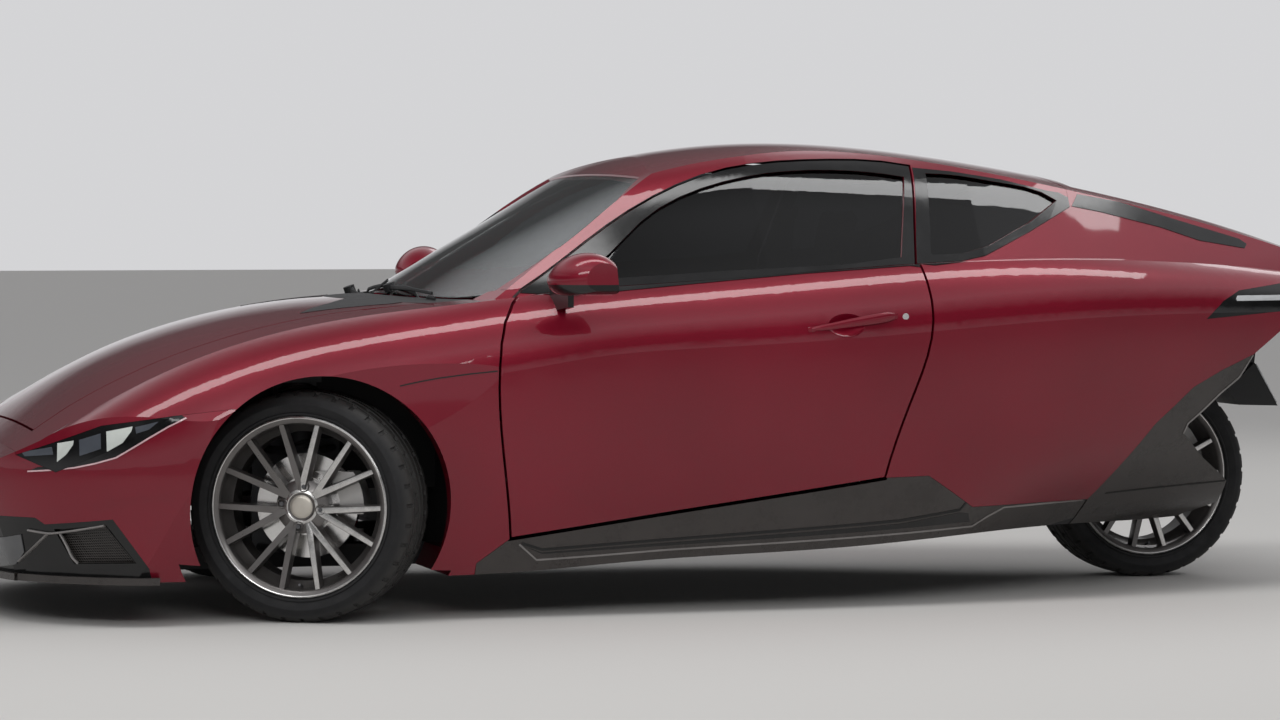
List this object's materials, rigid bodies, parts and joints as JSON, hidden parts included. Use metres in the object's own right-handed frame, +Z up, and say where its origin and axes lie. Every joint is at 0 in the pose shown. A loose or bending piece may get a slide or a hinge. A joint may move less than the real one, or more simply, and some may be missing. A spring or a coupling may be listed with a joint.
{
  "type": "three wheeled car",
  "caption": "low two seat coupe on three wheels, two steered in front and one driven behind, with opening doors, bonnet and rear lid",
  "frame": {"origin": "on the ground under the middle of the car's box", "axes": "+X towards the tail, +Y to the car's right, +Z up"},
  "size_m": [4.2999, 2.048, 1.2922],
  "materials": {
    "paint_red": "glossy deep metallic red",
    "dark_grey": "satin dark grey",
    "black_gloss": "gloss black",
    "black_matte": "matt black",
    "tyre": "rubber",
    "wheel_alloy": "machined faces, dark grey pockets",
    "brake_steel": "turned steel",
    "window_glass": "dark tinted",
    "lamp_glass": "smoked lamp cover",
    "tail_glass": "dark lamp cover",
    "seat_leather": "dark leather",
    "interior": "grained black",
    "chassis_steel": "coated steel"
  },
  "bodies": {
    "body": {"floor_tub": "black_matte", "front_trunk": "black_matte", "battery_block": "interior", "drive_motor": "chassis_steel", "body_frame": "paint_red", "left_fender": "paint_red", "right_fender": "paint_red", "left_quarter": "paint_red", "right_quarter": "paint_red", "cowl_panel": "black_matte", "front_bumper": "paint_red", "front_grille": "black_gloss", "headlamps": "lamp_glass", "tail_panel": "paint_red", "tail_lamp": "tail_glass", "side_sills": "dark_grey", "rear_fairings": "dark_grey", "windscreen": "window_glass", "quarter_glass": "window_glass", "plate_bracket": "black_matte", "dashboard": "interior", "left_seat": "seat_leather", "right_seat": "seat_leather", "front_subframe": "chassis_steel", "swing_arm": "chassis_steel"},
    "left_door_body": {"left_door": "paint_red", "left_door_glass": "window_glass", "left_mirror": "paint_red"},
    "right_door_body": {"right_door": "paint_red", "right_door_glass": "window_glass", "right_mirror": "paint_red"},
    "bonnet_body": {"bonnet": "paint_red"},
    "hatch_body": {"hatch": "black_gloss", "hatch_glass": "window_glass"},
    "left_upright": {"left_knuckle": "chassis_steel"},
    "right_upright": {"right_knuckle": "chassis_steel"},
    "left_wheel": {"left_tyre": "tyre", "left_rim": "wheel_alloy", "left_disc": "brake_steel"},
    "right_wheel": {"right_tyre": "tyre", "right_rim": "wheel_alloy", "right_disc": "brake_steel"},
    "rear_wheel": {"rear_tyre": "tyre", "rear_rim": "wheel_alloy", "rear_hub": "brake_steel"},
    "steering_wheel_body": {"steering_wheel": "interior"},
    "rack_body": {"tie_rods": "chassis_steel"}
  },
  "joints": [
    {"name": "left_steer", "type": "hinge", "parent": "body", "child": "left_upright", "pos_m": [-1.2, -0.66, 0.309], "axis": [0, 0, 1], "range_deg": [-5, 61]},
    {"name": "right_steer", "type": "hinge", "parent": "body", "child": "right_upright", "pos_m": [-1.2, 0.66, 0.309], "axis": [0, 0, 1], "range_deg": [-6, 62]},
    {"name": "rack_slide", "type": "slide", "parent": "body", "child": "rack_body", "axis": [0, 1, 0], "range_m": [-0.014, 0.126]},
    {"name": "steering_turn", "type": "hinge", "parent": "body", "child": "steering_wheel_body", "pos_m": [-0.115, -0.35, 0.735], "axis": [-0.9135, 0, -0.4067], "range_deg": [-930, 90]},
    {"name": "left_wheel_spin", "type": "hinge", "parent": "left_upright", "child": "left_wheel", "pos_m": [-1.21878, -0.69532, 0.309], "axis": [0.4695, 0.8829, 0], "continuous": true},
    {"name": "right_wheel_spin", "type": "hinge", "parent": "right_upright", "child": "right_wheel", "pos_m": [-1.18122, 0.69532, 0.309], "axis": [0.4695, 0.8829, 0], "continuous": true},
    {"name": "rear_wheel_spin", "type": "hinge", "parent": "body", "child": "rear_wheel", "pos_m": [1.46, 0, 0.309], "axis": [0, 1, 0], "continuous": true},
    {"name": "left_door_hinge", "type": "hinge", "parent": "body", "child": "left_door_body", "pos_m": [-0.66, -0.858, 0.55], "axis": [0, 0, 1], "range_deg": [-62, 0]},
    {"name": "right_door_hinge", "type": "hinge", "parent": "body", "child": "right_door_body", "pos_m": [-0.66, 0.858, 0.55], "axis": [0, 0, 1], "range_deg": [0, 62]},
    {"name": "bonnet_hinge", "type": "hinge", "parent": "body", "child": "bonnet_body", "pos_m": [-0.862, 0, 0.862], "axis": [0, 1, 0], "range_deg": [0, 50]},
    {"name": "hatch_hinge", "type": "hinge", "parent": "body", "child": "hatch_body", "pos_m": [1.026, 0, 1.203], "axis": [0, 1, 0], "range_deg": [-62, 0]}
  ],
  "couplings": [
    {"joint": "right_steer", "follows": "left_steer", "ratio": 1},
    {"joint": "rack_slide", "follows": "left_steer", "m_per_rad": 0.1145},
    {"joint": "steering_turn", "follows": "left_steer", "ratio": -15}
  ]
}
